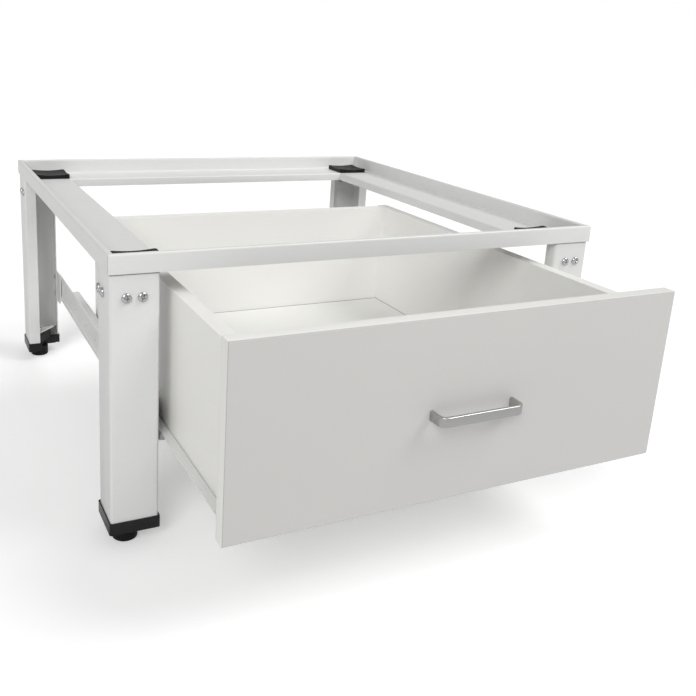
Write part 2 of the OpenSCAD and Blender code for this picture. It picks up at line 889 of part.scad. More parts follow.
module handle() {
    out = panel_set - handle_reach + handle_t / 2;
    color(satin)
        on_drawer()
            difference() {
                translate([0, 0, handle_z - handle_h / 2])
                    linear_extrude(handle_h)
                        folded([
                            [-handle_end, panel_set], [-handle_end, out],
                            [handle_end, out], [handle_end, panel_set]
                        ], handle_t, handle_r, bend_steps);
                for (x = handle_screw_x)
                    translate([x, panel_set - 8, handle_z])
                        rotate([-90, 0, 0])
                            cylinder(h = 10, d = handle_screw_d);
            }
}

module handle_screws()
    color(zinc)
        on_drawer()
            for (x = handle_screw_x)
                translate([x, panel_back, handle_z])
                    rotate([90, 0, 0])
                        screw(handle_screw_d, handle_screw_d * 2, 2, panel_t + 7);

front_rail();
rear_rail();
left_rail();
right_rail();
at_corner(false, false) corner_bracket();  // corner_bracket_fl
at_corner(true, false) corner_bracket();  // corner_bracket_fr
at_corner(false, true) corner_bracket();  // corner_bracket_rl
at_corner(true, true) corner_bracket();  // corner_bracket_rr
at_corner(false, false) leg(front_plate_z);  // leg_fl
at_corner(true, false) leg(front_plate_z);  // leg_fr
at_corner(false, true) leg(rear_plate_z);  // leg_rl
at_corner(true, true) leg(rear_plate_z);  // leg_rr
at_corner(false, false) gusset();  // gusset_fl
at_corner(true, false) gusset();  // gusset_fr
at_corner(false, true) gusset();  // gusset_rl
at_corner(true, true) gusset();  // gusset_rr
at_corner(false, false) foot_cap();  // foot_cap_fl
at_corner(true, false) foot_cap();  // foot_cap_fr
at_corner(false, true) foot_cap();  // foot_cap_rl
at_corner(true, true) foot_cap();  // foot_cap_rr
at_corner(false, false) foot();  // foot_fl
at_corner(true, false) foot();  // foot_fr
at_corner(false, true) foot();  // foot_rl
at_corner(true, true) foot();  // foot_rr
at_corner(false, false) pad();  // pad_fl
at_corner(true, false) pad();  // pad_fr
at_corner(false, true) pad();  // pad_rl
at_corner(true, true) pad();  // pad_rr
leg_screws();
foot_screws();
on_stand() at_slide(false) slide_rail();  // slide_rail_left
on_stand() at_slide(true) slide_rail();  // slide_rail_right
rail_plates();
rail_screws();
rail_axles();
rail_roller(false);  // rail_roller_left
rail_roller(true);  // rail_roller_right
drawer_front();
drawer_side(false);  // drawer_side_left
drawer_side(true);  // drawer_side_right
drawer_back();
drawer_floor();
drawer_dowels();
handle();
handle_screws();
drawer_rail(false);  // drawer_rail_left
drawer_rail(true);  // drawer_rail_right
drawer_rail_screws();
drawer_axles();
drawer_roller(false);  // drawer_roller_left
drawer_roller(true);  // drawer_roller_right
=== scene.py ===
"""Looks of the washer pedestal: a powder-coated stand with rubber pads and a drawer on slides.

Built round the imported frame, in metres. Nothing here moves or resizes a piece of it.
"""

import json
import math

import bmesh
import bpy
from bpy.props import FloatProperty, FloatVectorProperty, IntProperty, PointerProperty
from mathutils import Euler, Matrix, Vector


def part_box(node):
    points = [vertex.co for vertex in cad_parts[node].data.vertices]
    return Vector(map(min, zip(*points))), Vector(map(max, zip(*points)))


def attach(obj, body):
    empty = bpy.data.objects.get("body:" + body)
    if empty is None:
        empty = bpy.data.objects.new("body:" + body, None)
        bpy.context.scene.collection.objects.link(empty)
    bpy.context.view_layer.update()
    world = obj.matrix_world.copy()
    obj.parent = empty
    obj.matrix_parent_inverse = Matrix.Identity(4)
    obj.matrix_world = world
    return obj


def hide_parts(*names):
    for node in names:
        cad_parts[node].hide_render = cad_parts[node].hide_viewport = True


bl_info = {
    "name": "Washer pedestal",
    "version": (1, 0, 0),
    "blender": (4, 5, 0),
    "location": "3D View > Sidebar > Pedestal",
    "description": "Finishes a pedestal for a washing machine, with its drawer and slides",
    "category": "Object",
}

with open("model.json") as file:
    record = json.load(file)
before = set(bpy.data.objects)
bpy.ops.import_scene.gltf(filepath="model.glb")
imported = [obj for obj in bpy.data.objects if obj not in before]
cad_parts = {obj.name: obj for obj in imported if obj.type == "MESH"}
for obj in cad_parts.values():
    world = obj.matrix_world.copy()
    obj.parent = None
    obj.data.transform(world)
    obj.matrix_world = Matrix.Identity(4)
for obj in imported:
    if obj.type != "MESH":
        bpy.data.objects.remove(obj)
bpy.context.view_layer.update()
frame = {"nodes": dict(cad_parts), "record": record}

CORNERS = ("fl", "fr", "rl", "rr")
SIDES = ("left", "right")
UP = Vector((0, 0, 1))
MM = 0.001

# Corners closer than this are one corner, and faces closer in angle than this are one face
SAME_PLACE = 0.000005
SAME_PLANE = math.radians(0.6)

# The camera, fitted to the pedestal's own edges in the photograph with only a small shift: the
# picture's width and the focal length in pixels, the shift in picture widths, yaw, pitch and
# roll in degrees, and the place in metres from the floor below the frame's front left corner
CAMERA = {
    "width": 696,
    "focal": 839.6,
    "shift_x": 0.0603,
    "shift_y": -0.1106,
    "turn": (26.68, 15.43, 3.24),
    "at": (-0.1736, -0.7585, 0.5181),
}


# Sizes and colours


def length(name, description, default):
    return FloatProperty(name=name, description=description, default=default, unit="LENGTH")


def colour(name, description, default):
    return FloatVectorProperty(
        name=name, description=description, default=default, subtype="COLOR", size=3, min=0, max=1
    )


class PedestalSizes(bpy.types.PropertyGroup):
    """Sizes of the finish that the frame leaves open"""

    sheet_edge: length("Sheet edges", "Rounding of the cut edges of folded sheet", 0.00022)
    board_edge: length("Board edges", "Rounding of the boards' edges", 0.0005)
    plastic_edge: length("Moulded edges", "Rounding of the moulded caps' edges", 0.0005)
    pad_edge: length("Pad edges", "Rounding of the pads' upper edges", 0.0011)
    pad_foot_edge: length("Pad foot edges", "Rounding of the pads' lower edges", 0.0004)
    seed: IntProperty(name="Seed", description="Turn of the screws on their axes", default=7)


class PedestalColours(bpy.types.PropertyGroup):
    """Colours of the finishes, as linear values"""

    coat: colour("Powder coat", "Stand, legs and rails", (0.74, 0.74, 0.73))
    slide: colour("Slide coat", "Slides and their plates", (0.74, 0.745, 0.73))
    # The front's facing is greyer than the other boards', and its colour is set darker still as
    # painted shade, offsetting the light the floor throws on it
    front: colour("Front board", "Faces of the drawer front", (0.575, 0.568, 0.553))
    board: colour("Board", "Faces of the drawer's other boards", (0.87, 0.865, 0.84))
    edging: colour("Edging", "Edges of the drawer front", (0.84, 0.835, 0.805))
    floor_board: colour("Drawer floor", "White-faced hardboard", (0.80, 0.80, 0.775))
    rubber: colour("Rubber", "Pads and feet", (0.006, 0.006, 0.006))
    moulding: colour("Moulding", "Foot caps", (0.008, 0.008, 0.008))
    zinc: colour("Zinc", "Screws and axles", (0.56, 0.57, 0.59))
    aluminium: colour("Aluminium", "The handle", (0.46, 0.46, 0.45))
    roller: colour("Roller", "Plastic of the rollers", (0.74, 0.73, 0.70))
    wood: colour("Dowels", "Beech of the dowels", (0.52, 0.36, 0.2))
    ground: colour("Ground", "Floor of the studio", (0.8, 0.8, 0.8))


def sizes():
    return bpy.context.scene.pedestal_sizes


def colours():
    return bpy.context.scene.pedestal_colours


# Node trees


class Wire:
    """An output socket of a node that can be used in sums and products."""

    def __init__(self, sheet, socket):
        self.sheet = sheet
        self.socket = socket

    def maths(self, operation, first, second=0.0):
        return self.sheet.add("ShaderNodeMath", {"operation": operation}, {0: first, 1: second})

    def __add__(self, other):
        return self.maths("ADD", self, other)

    def __radd__(self, other):
        return self.maths("ADD", other, self)

    def __sub__(self, other):
        return self.maths("SUBTRACT", self, other)

    def __rsub__(self, other):
        return self.maths("SUBTRACT", other, self)

    def __mul__(self, other):
        return self.maths("MULTIPLY", self, other)

    def __rmul__(self, other):
        return self.maths("MULTIPLY", other, self)

    def __abs__(self):
        return self.maths("ABSOLUTE", self)

    def part(self, axis):
        """One component of a vector."""
        return self.sheet.add("ShaderNodeSeparateXYZ", {}, {0: self}, "XYZ".index(axis))

    def between(self, low, high):
        """0 below low and 1 above high, with a soft step between."""
        return self.sheet.add(
            "ShaderNodeMapRange",
            {"interpolation_type": "SMOOTHSTEP"},
            {"Value": self, "From Min": low, "From Max": high},
        )


class Sheet:
    """A node tree to draw on, for a finish or for a shape."""

    def __init__(self, tree):
        self.tree = tree

    def add(self, kind, settings, inputs, output=0):
        """A node of a kind with its settings made first, then its inputs set or linked."""
        node = self.tree.nodes.new(kind)
        for key, value in settings.items():
            setattr(node, key, value)
        for key, value in inputs.items():
            if isinstance(value, Wire):
                self.tree.links.new(value.socket, node.inputs[key])
            else:
                node.inputs[key].default_value = value
        return Wire(self, node.outputs[output])

    def noise(self, place, scale, detail=2.0, roughness=0.5):
        """Cloudy values from 0 to 1, finer with a larger scale."""
        return self.add(
            "ShaderNodeTexNoise",
            {"noise_dimensions": "3D"},
            {"Vector": place, "Scale": scale, "Detail": detail, "Roughness": roughness},
        )

    def mix(self, factor, first, second):
        """A colour between two colours."""
        return self.add(
            "ShaderNodeMix", {"data_type": "RGBA"}, {0: factor, 6: first, 7: second}, 2
        )

    def stretched(self, place, scale):
        """A place whose axes are each scaled."""
        return self.add(
            "ShaderNodeVectorMath", {"operation": "MULTIPLY"}, {0: place, 1: scale}
        )


class Finish(Sheet):
    """A material with one shader, whose even values are set once and whose rest is drawn."""

    def __init__(self, name, **even):
        self.material = bpy.data.materials.new(name)
        self.material.use_nodes = True
        super().__init__(self.material.node_tree)
        self.shader = self.tree.nodes["Principled BSDF"]
        for key, value in even.items():
            self.shader.inputs[key.replace("_", " ")].default_value = value

    def place(self):
        return self.add("ShaderNodeTexCoord", {}, {}, "Object")

    def feed(self, **wires):
        """Links the shader's inputs, with spaces in their names written as underscores."""
        for key, wire in wires.items():
            self.tree.links.new(wire.socket, self.shader.inputs[key.replace("_", " ")])
        return self.material

    def bump(self, height, depth, strength):
        """Relief of a depth in metres."""
        return self.add(
            "ShaderNodeBump", {}, {"Strength": strength, "Distance": depth, "Height": height}
        )


def solid(rgb, share=1.0):
    """A colour for a socket, made lighter or darker by a share."""
    return tuple(min(1.0, c * share) for c in rgb) + (1.0,)


# Finishes


def coat_finish(name, rgb, grain, depth, matt):
    """Baked coat: an orange peel of a grain and depth, with slow changes in tone and sheen."""
    finish = Finish(name, Specular_IOR_Level=0.5)
    place = finish.place()
    slow = finish.noise(place, scale=5.0, detail=3.0).between(0.35, 0.65)
    peel = finish.noise(place, scale=grain, detail=1.0, roughness=0.4)
    specks = finish.noise(place, scale=160.0).between(0.45, 0.75)
    tone = finish.mix(slow * 0.6 + specks * 0.2, solid(rgb), solid(rgb, 0.965))
    return finish.feed(
        Base_Color=tone,
        Roughness=matt + slow * 0.05 + specks * 0.03,
        Normal=finish.bump(peel, depth, 0.5),
    )


def rim_distance(place, box, axes):
    """How far a place is from the nearest side of a box along the named axes."""
    low, high = box
    rim = None
    for axis in axes:
        here, at = place.part(axis), "XYZ".index(axis)
        for inward in (here - low[at], high[at] - here):
            rim = inward if rim is None else rim.maths("MINIMUM", rim, inward)
    return rim


def board_finish(name, rgb, pearl_depth=0.06 * MM, strip=None):
    """White facing with a fine pearl grain. A strip along the edges has the box and axes that it
    is measured in, its width and colour, and the reach and strength of painted shade beside it."""
    finish = Finish(name, Specular_IOR_Level=0.42)
    place = finish.place()
    pearl = finish.noise(place, scale=900.0, roughness=0.6)
    slow = finish.noise(place, scale=4.0).between(0.3, 0.7)
    tone = finish.mix(slow, solid(rgb), solid(rgb, 0.98))
    if strip:
        rim = rim_distance(place, strip["box"], strip["axes"])
        width, reach = strip["width"], strip["reach"]
        soft = 0.08 * MM
        inside = rim.between(width - soft, width + soft)
        # Painted shade: a dark line centred on the strip's inner edge, mixed towards a third of
        # the board's colour
        line = 1.0 - abs(rim - width).between(reach * 0.2, reach)
        tone = finish.mix(inside, solid(strip["colour"]), tone)
        tone = finish.mix(line * strip["strength"], tone, solid(rgb, 0.3))
    return finish.feed(
        Base_Color=tone,
        Roughness=0.46 + slow * 0.05 + pearl * 0.06,
        Normal=finish.bump(pearl, pearl_depth, 0.45),
    )


def rubber_finish(rgb):
    """Black rubber with a fine grain and a little dust."""
    finish = Finish("black rubber", Specular_IOR_Level=0.22)
    place = finish.place()
    grain = finish.noise(place, scale=1400.0, roughness=0.6)
    dust = finish.noise(place, scale=90.0, detail=4.0, roughness=0.65).between(0.5, 0.8)
    return finish.feed(
        Base_Color=finish.mix(dust * 0.35, solid(rgb), solid(rgb, 2.6)),
        Roughness=0.42 + dust * 0.15 + grain * 0.08,
        Normal=finish.bump(grain, 0.1 * MM, 0.5),
    )


def moulding_finish(rgb):
    """Black moulded plastic with the fine spark texture of its mould."""
    finish = Finish("black moulding", Specular_IOR_Level=0.32)
    place = finish.place()
    spark = finish.noise(place, scale=1800.0, detail=1.0)
    slow = finish.noise(place, scale=30.0).between(0.35, 0.7)
    return finish.feed(
        Base_Color=finish.mix(slow * 0.5, solid(rgb), solid(rgb, 2.0)),
        Roughness=0.24 + slow * 0.1,
        Normal=finish.bump(spark, 0.08 * MM, 0.45),
    )


def zinc_finish(rgb):
    """Bright zinc plating, clouded and a little yellow in places."""
    finish = Finish("bright zinc", Metallic=1.0)
    place = finish.place()
    cloud = finish.noise(place, scale=220.0, detail=3.0).between(0.3, 0.7)
    grain = finish.noise(place, scale=2600.0)
    red, green, blue = rgb
    return finish.feed(
        Base_Color=finish.mix(cloud, solid(rgb), solid((red, green * 0.99, blue * 0.95))),
        Roughness=0.14 + cloud * 0.08,
        Normal=finish.bump(grain, 0.03 * MM, 0.3),
    )


def aluminium_finish(rgb):
    """Satin metal, brushed along the bar."""
    finish = Finish("satin aluminium", Metallic=1.0)
    place = finish.place()
    along = finish.stretched(place, (30.0, 90.0, 2600.0))
    strokes = finish.noise(along, scale=1.0, detail=3.0, roughness=0.6)
    cloud = finish.noise(place, scale=60.0).between(0.3, 0.7)
    return finish.feed(
        Base_Color=finish.mix(strokes, solid(rgb, 0.96), solid(rgb, 1.03)),
        Roughness=0.22 + strokes * 0.1 + cloud * 0.04,
        Normal=finish.bump(strokes, 0.02 * MM, 0.35),
    )


def roller_finish(rgb):
    """Off-white plastic, worn in rings round the roller."""
    finish = Finish("roller plastic", Specular_IOR_Level=0.5, Subsurface_Weight=0.05)
    place = finish.place()
    slow = finish.noise(place, scale=120.0, detail=3.0).between(0.3, 0.7)
    worn = finish.noise(finish.stretched(place, (1500.0, 80.0, 80.0)), scale=1.0)
    return finish.feed(
        Base_Color=finish.mix(slow, solid(rgb), solid(rgb, 0.93)),
        Roughness=0.36 + worn * 0.12,
        Normal=finish.bump(worn, 0.03 * MM, 0.3),
    )


def wood_finish(rgb):
    """Plain beech with short flecks."""
    finish = Finish("beech", Specular_IOR_Level=0.3)
    place = finish.place()
    along = finish.stretched(place, (900.0, 120.0, 900.0))
    fleck = finish.noise(along, scale=1.0, detail=4.0, roughness=0.6)
    return finish.feed(
        Base_Color=finish.mix(fleck.between(0.3, 0.7), solid(rgb), solid(rgb, 0.75)),
        Roughness=0.6 + fleck * 0.1,
        Normal=finish.bump(fleck, 0.1 * MM, 0.4),
    )


# Making pieces


def merged(node):
    """A closed copy of a frame node's mesh, with flat faces in one piece each."""
    shape = bmesh.new()
    shape.from_mesh(frame["nodes"][node].data)
    bmesh.ops.remove_doubles(shape, verts=shape.verts, dist=SAME_PLACE)
    bmesh.ops.dissolve_limit(
        shape, angle_limit=SAME_PLANE, verts=shape.verts, edges=shape.edges
    )
    return shape


def piece(name, mesh, body, slot, finish, *nodes):
    """A finished mesh becomes a piece of the object, in place of the frame's own nodes."""
    thing = bpy.data.objects.new(name, mesh)
    bpy.context.scene.collection.objects.link(thing)
    mesh.materials.clear()
    mesh.materials.append(finish)
    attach(thing, body)
    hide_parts(*nodes)
    return thing


def evaluated(mesh, name, kind, settings):
    """A mesh after a modifier of a kind, with its settings."""
    thing = bpy.data.objects.new(name, mesh)
    bpy.context.scene.collection.objects.link(thing)
    step = thing.modifiers.new(kind.lower(), kind)
    for key, value in settings.items():
        setattr(step, key, value)
    bpy.context.view_layer.update()
    graph = bpy.context.evaluated_depsgraph_get()
    made = bpy.data.meshes.new_from_object(thing.evaluated_get(graph), depsgraph=graph)
    bpy.data.objects.remove(thing)
    made.name = name
    return made


def meshed(shape, name):
    """A mesh with the shape, which is freed."""
    mesh = bpy.data.meshes.new(name)
    shape.to_mesh(mesh)
    shape.free()
    return mesh


def smoothed(shape, angle):
    """Faces shaded smooth, but for edges sharper than an angle."""
    for face in shape.faces:
        face.smooth = True
    for edge in shape.edges:
        sharp = len(edge.link_faces) != 2 or edge.calc_face_angle(0.0) > math.radians(angle)
        edge.smooth = not sharp


def softened(node, width, segments=2, angle=32):
    """A frame node's mesh with its edges rounded."""
    shape = merged(node)
    smoothed(shape, 80)
    rounding = {
        "width": width,
        "segments": segments,
        "limit_method": "ANGLE",
        "angle_limit": math.radians(angle),
        "harden_normals": True,
        "use_clamp_overlap": True,
        "miter_outer": "MITER_ARC",
    }
    return evaluated(meshed(shape, node), node, "BEVEL", rounding)


def body_of(node):
    for body, members in frame["record"]["behaviour"]["bodies"].items():
        if node in members:
            return body
    raise ValueError(f"no body holds {node}")


def slot_of(node):
    for part in frame["record"]["subparts"]:
        if part["node"] == node:
            return part["material_slot"]
    raise ValueError(f"no slot for {node}")


def soften(node, width, finish, **how):
    """One frame node becomes a piece with rounded edges."""
    mesh = softened(node, width, **how)
    return piece(f"{node}.piece", mesh, body_of(node), slot_of(node), finish, node)


def lathe(name, profile, centre, axis, steps=96):
    """A closed mesh turned from a profile of (radius, height) points about an axis."""
    shape = bmesh.new()
    turn = axis.to_track_quat("Z", "Y").to_matrix().to_4x4()
    rings = []
    for radius, height in profile:
        if radius < SAME_PLACE:
            rings.append([shape.verts.new((0, 0, height))])
            continue
        ring = []
        for k in range(steps):
            angle = 2 * math.pi * k / steps
            place = (radius * math.cos(angle), radius * math.sin(angle), height)
            ring.append(shape.verts.new(place))
        rings.append(ring)
    for a, b in zip(rings, rings[1:]):
        for k in range(steps):
            m = (k + 1) % steps
            if len(a) == 1:
                shape.faces.new((a[0], b[m], b[k]))
            elif len(b) == 1:
                shape.faces.new((a[k], a[m], b[0]))
            else:
                shape.faces.new((a[k], a[m], b[m], b[k]))
    if len(rings[0]) > 1 and len(rings[-1]) > 1:
        for k in range(steps):
            m = (k + 1) % steps
            shape.faces.new((rings[-1][k], rings[-1][m], rings[0][m], rings[0][k]))
    bmesh.ops.recalc_face_normals(shape, faces=shape.faces)
    smoothed(shape, 35)
    shape.transform(Matrix.Translation(centre) @ turn)
    return meshed(shape, name)


def rounded_profile(corners, radius, steps=4):
    """Points of a profile whose corners, but for both ends, are rounded."""
    points = [corners[0]]
    for before, corner, after in zip(corners, corners[1:], corners[2:]):
        corner = Vector(corner)
        into, out = Vector(before) - corner, Vector(after) - corner
        # Short sides keep a straight stretch between the roundings at their ends
        reach = min(radius, into.length * 0.45, out.length * 0.45)
        start, end = corner + into.normalized() * reach, corner + out.normalized() * reach
        for k in range(steps + 1):
            t = k / steps
            p = start * (1 - t) ** 2 + corner * 2 * t * (1 - t) + end * t**2
            points.append(tuple(p))
    points.append(corners[-1])
    return points


# Pieces


class PieceOperator:
    """What the operators share: they run once each and can't be taken back."""

    bl_options = {"REGISTER"}


class PEDESTAL_OT_top_frame(PieceOperator, bpy.types.Operator):
    """Four mitred rails of folded sheet with a powder coat"""

    bl_idname = "pedestal.top_frame"
    bl_label = "Top frame"

    def execute(self, context):
        coat = coat_finish(
            "powder coat", colours().coat, grain=750.0, depth=0.09 * MM, matt=0.36
        )
        for side in ("front", "rear", "left", "right"):
            soften(f"{side}_rail", sizes().sheet_edge, coat)
        return {"FINISHED"}


class PEDESTAL_OT_legs(PieceOperator, bpy.types.Operator):
    """Four lipped angle legs with their corner brackets and gussets"""

    bl_idname = "pedestal.legs"
    bl_label = "Legs"

    def execute(self, context):
        coat = bpy.data.materials["powder coat"]
        for corner in CORNERS:
            for kind in ("leg", "corner_bracket", "gusset"):
                soften(f"{kind}_{corner}", sizes().sheet_edge, coat)
        return {"FINISHED"}


class PEDESTAL_OT_feet(PieceOperator, bpy.types.Operator):
    """Black moulded caps and round glides at the legs' lower ends"""

    bl_idname = "pedestal.feet"
    bl_label = "Feet"

    def execute(self, context):
        moulding = moulding_finish(colours().moulding)
        rubber = rubber_finish(colours().rubber)
        for corner in CORNERS:
            soften(f"foot_cap_{corner}", sizes().plastic_edge, moulding)
            self.glide(f"foot_{corner}", rubber)
        return {"FINISHED"}

    def glide(self, node, finish):
        """A round foot with an eased sole and a fine groove, and its spigot."""
        low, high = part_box(node)
        centre = (low + high) / 2
        centre.z = low.z
        radius, tall = (high.x - low.x) / 2, high.z - low.z
        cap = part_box(node.replace("foot_", "foot_cap_"))[0].z - low.z
        spigot = max(
            math.hypot(v.co.x - centre.x, v.co.y - centre.y)
            for v in frame["nodes"][node].data.vertices
            if v.co.z > low.z + cap + 2 * MM
        )
        sole_ease, top_ease, tip_ease = 1.2 * MM, 0.9 * MM, 1.0 * MM
        groove, groove_z = 0.5 * MM, cap * 0.52
        corners = [
            (0, 0),
            (radius - sole_ease, 0),
            (radius, sole_ease),
            (radius, groove_z),
            (radius - groove, groove_z + groove),
            (radius - groove, groove_z + 2 * groove),
            (radius, groove_z + 3 * groove),
            (radius, cap - top_ease),
            (radius - top_ease * 2 / 3, cap),
            (spigot, cap),
            (spigot, tall - tip_ease),
            (spigot - tip_ease, tall),
            (0, tall),
        ]
        profile = rounded_profile(corners, 0.4 * MM, steps=3)
        mesh = lathe(node, profile, centre, UP, steps=72)
        piece(f"{node}.piece", mesh, body_of(node), slot_of(node), finish, node)


class PEDESTAL_OT_pads(PieceOperator, bpy.types.Operator):
    """Square rubber pads with rounded corners and a dished top"""

    bl_idname = "pedestal.pads"
    bl_label = "Pads"

    flat: length("Dish floor", "Diameter of the flat floor of the dish", 0.024)
    corner: length("Corner", "Corner radius of a pad", 0.004)

    CORNER_STEPS = 8
    SIDE_STEPS = 9
    FOOT_STEPS = 3
    EDGE_STEPS = 5
    DISH_STEPS = 24

    def execute(self, context):
        rubber = bpy.data.materials["black rubber"]
        for corner in CORNERS:
            node = f"pad_{corner}"
            mesh = self.pad(node)
            piece(f"{node}.piece", mesh, body_of(node), slot_of(node), rubber, node)
        return {"FINISHED"}

    def outline(self, half, inset):
        """Points of the rounded square, drawn in from its edge."""
        corner = max(self.corner - inset, 0.6 * MM)
        half -= inset
        middle = Vector((half - corner, half - corner))
        start, end = Vector((half - corner, half)), Vector((corner - half, half))
        points = []
        for quarter in range(4):
            turn = Matrix.Rotation(quarter * math.pi / 2, 2)
            for k in range(self.CORNER_STEPS + 1):
                angle = math.pi / 2 * k / self.CORNER_STEPS
                p = middle + corner * Vector((math.cos(angle), math.sin(angle)))
                points.append(turn @ p)
            for k in range(1, self.SIDE_STEPS):
                points.append(turn @ start.lerp(end, k / self.SIDE_STEPS))
        return points

    def pad(self, node):
        """Rings of points, up from the eased foot, over the edge and in to the dish's middle."""
        low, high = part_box(node)
        half = (high.x - low.x) / 2
        tall = high.z - low.z
        inner_heights = [
            v.co.z for v in frame["nodes"][node].data.vertices if v.co.z > low.z + 0.1 * MM
        ]
        dish_floor = min(inner_heights) - low.z
        # The dish is part of a ball that meets the flat floor's edge and the pad's corners
        flat = self.flat / 2
        far = half * math.sqrt(2) - self.corner * (math.sqrt(2) - 1)
        depth = tall - dish_floor
        up = (far**2 + depth**2 - flat**2) / (2 * depth)
        ball = math.hypot(flat, up)

        def dish(x, y):
            r = math.hypot(x, y)
            if r < flat:
                return dish_floor
            return min(tall, dish_floor + up - math.sqrt(ball**2 - r**2))

        rings = []
        edge, foot = sizes().pad_edge, sizes().pad_foot_edge
        for k in range(self.FOOT_STEPS + 1):
            turn = math.pi / 2 * k / self.FOOT_STEPS
            inset, height = foot * (1 - math.sin(turn)), foot * (1 - math.cos(turn))
            rings.append([(p, height) for p in self.outline(half, inset)])
        for k in range(self.EDGE_STEPS + 1):
            turn = math.pi / 2 * k / self.EDGE_STEPS
            inset, drop = edge * (1 - math.cos(turn)), edge * (1 - math.sin(turn))
            rings.append([(p, dish(p.x, p.y) - drop) for p in self.outline(half, inset)])
        inner = self.outline(half, edge)
        for k in range(1, self.DISH_STEPS):
            share = 1 - k / self.DISH_STEPS
            rings.append([(p * share, dish(p.x * share, p.y * share)) for p in inner])
        middle = (low + high) / 2
        tip = Vector((middle.x, middle.y, low.z + dish_floor))
        return self.closed(node, Vector((middle.x, middle.y, low.z)), rings, tip)

    def closed(self, name, foot, rings, tip):
        """A closed mesh over rings of points, flat below and drawn to a tip above."""
        shape = bmesh.new()
        loops = [
            [shape.verts.new((foot.x + p.x, foot.y + p.y, foot.z + z)) for p, z in ring]
            for ring in rings
        ]
        count = len(loops[0])
        for a, b in zip(loops, loops[1:]):
            for k in range(count):
                m = (k + 1) % count
                shape.faces.new((a[k], a[m], b[m], b[k]))
        top = shape.verts.new(tip)
        for k in range(count):
            shape.faces.new((loops[-1][k], loops[-1][(k + 1) % count], top))
        shape.faces.new(loops[0][::-1])
        bmesh.ops.recalc_face_normals(shape, faces=shape.faces)
        smoothed(shape, 40)
        return meshed(shape, name)


class PEDESTAL_OT_slides(PieceOperator, bpy.types.Operator):
    """Fixed rails with their plates, and the drawer's own rails"""

    bl_idname = "pedestal.slides"
    bl_label = "Slides"

    def execute(self, context):
        coat = coat_finish(
            "slide coat", colours().slide, grain=500.0, depth=0.07 * MM, matt=0.3
        )
        for side in SIDES:
            soften(f"slide_rail_{side}", sizes().sheet_edge, coat)
            soften(f"drawer_rail_{side}", sizes().sheet_edge, coat)
        soften("rail_plates", sizes().sheet_edge, coat)
        return {"FINISHED"}


class PEDESTAL_OT_rollers(PieceOperator, bpy.types.Operator):
    """Plastic rollers with a hub, a thin web and a rounded rim"""

    bl_idname = "pedestal.rollers"
    bl_label = "Rollers"

    bore: length("Bore", "Diameter of a roller's bore", 0.0041)
    hub_wall: length("Hub", "Wall of the hub round the bore", 0.00145)
    rim_wall: length("Rim", "Wall of the rim under the tread", 0.002)
    dip: length("Dip", "Depth of the web below the roller's sides", 0.0015)

    def execute(self, context):
        plastic = roller_finish(colours().roller)
        for kind in ("rail_roller", "drawer_roller"):
            for side in SIDES:
                self.roller(f"{kind}_{side}", plastic)
        return {"FINISHED"}

    def roller(self, node, finish):
        low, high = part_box(node)
        centre = (low + high) / 2
        half, tread = (high.x - low.x) / 2, (high.z - low.z) / 2
        bore = self.bore / 2
        hub = bore + self.hub_wall
        rim = tread - self.rim_wall
        draft, ease = 0.5 * MM, 0.8 * MM
        side = [
            (bore, -half),
            (hub, -half),
            (hub + draft, self.dip - half),
            (rim - draft, self.dip - half),
            (rim, -half),
            (tread - ease, -half),
            (tread, ease - half),
        ]
        profile = rounded_profile(side + [(a, -b) for a, b in reversed(side)], 0.35 * MM)
        mesh = lathe(node, profile, centre, Vector((1, 0, 0)))
        piece(f"{node}.piece", mesh, body_of(node), slot_of(node), finish, node)


class PEDESTAL_OT_drawer(PieceOperator, bpy.types.Operator):
    """The drawer's front, sides, back and floor, with eased and edged boards"""

    bl_idname = "pedestal.drawer"
    bl_label = "Drawer"

    band: length("Edging", "How far the edging reaches onto the front's face", 0.0005)
    groove: length("Groove", "Width of the floor's edge that the grooves hide", 0.0063)

    def execute(self, context):
        tones, edges = colours(), sizes()
        # The edging round the front, with a line of painted shade along its joint with the face
        edging = {
            "box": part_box("drawer_front"),
            "axes": "XZ",
            "width": self.band,
            "colour": tones.edging,
            "reach": 0.6 * MM,
            "strength": 0.4,
        }
        front = board_finish("drawer front board", tones.front, strip=edging)
        board = board_finish("drawer board", tones.board)
        # The floor's edges lie in grooves, and a line of painted shade darkens the floor where it
        # leaves them
        grooves_and_gap_shade = {
            "box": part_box("drawer_floor"),
            "axes": "XY",
            "width": self.groove,
            "colour": tones.floor_board,
            "reach": 1.5 * MM,
            "strength": 0.9,
        }
        hardboard = board_finish("hardboard", tones.floor_board, 0.03 * MM, strip=grooves_and_gap_shade)
        soften("drawer_front", edges.board_edge, front, segments=3)
        for node in ("drawer_side_left", "drawer_side_right", "drawer_back"):
            soften(node, edges.board_edge, board, segments=3)
        soften("drawer_floor", edges.sheet_edge, hardboard)
        dowels = frame["nodes"]["drawer_dowels"].data
        dowels.materials.clear()
        dowels.materials.append(wood_finish(tones.wood))
        return {"FINISHED"}


def shape_tree(name, inputs):
    """A tree of geometry nodes with named inputs, and its sheet and group input."""
    tree = bpy.data.node_groups.new(name, "GeometryNodeTree")
    tree.is_modifier = True
    tree.interface.new_socket("Geometry", in_out="INPUT", socket_type="NodeSocketGeometry")
    tree.interface.new_socket("Geometry", in_out="OUTPUT", socket_type="NodeSocketGeometry")
    for title, kind in inputs:
        socket = tree.interface.new_socket(title, in_out="INPUT", socket_type=kind)
        if kind == "NodeSocketFloat":
            socket.subtype = "DISTANCE"
    sheet = Sheet(tree)
    start = tree.nodes.new("NodeGroupInput")
    return sheet, {s.name: Wire(sheet, s) for s in start.outputs if s.name}


def close_tree(sheet, geometry, finish):
    """Ends a tree in real, painted geometry."""
    real = sheet.add("GeometryNodeRealizeInstances", {}, {"Geometry": geometry})
    painted = sheet.add(
        "GeometryNodeSetMaterial", {}, {"Geometry": real, "Material": finish}
    )
    end = sheet.tree.nodes.new("NodeGroupOutput")
    sheet.tree.links.new(painted.socket, end.inputs["Geometry"])


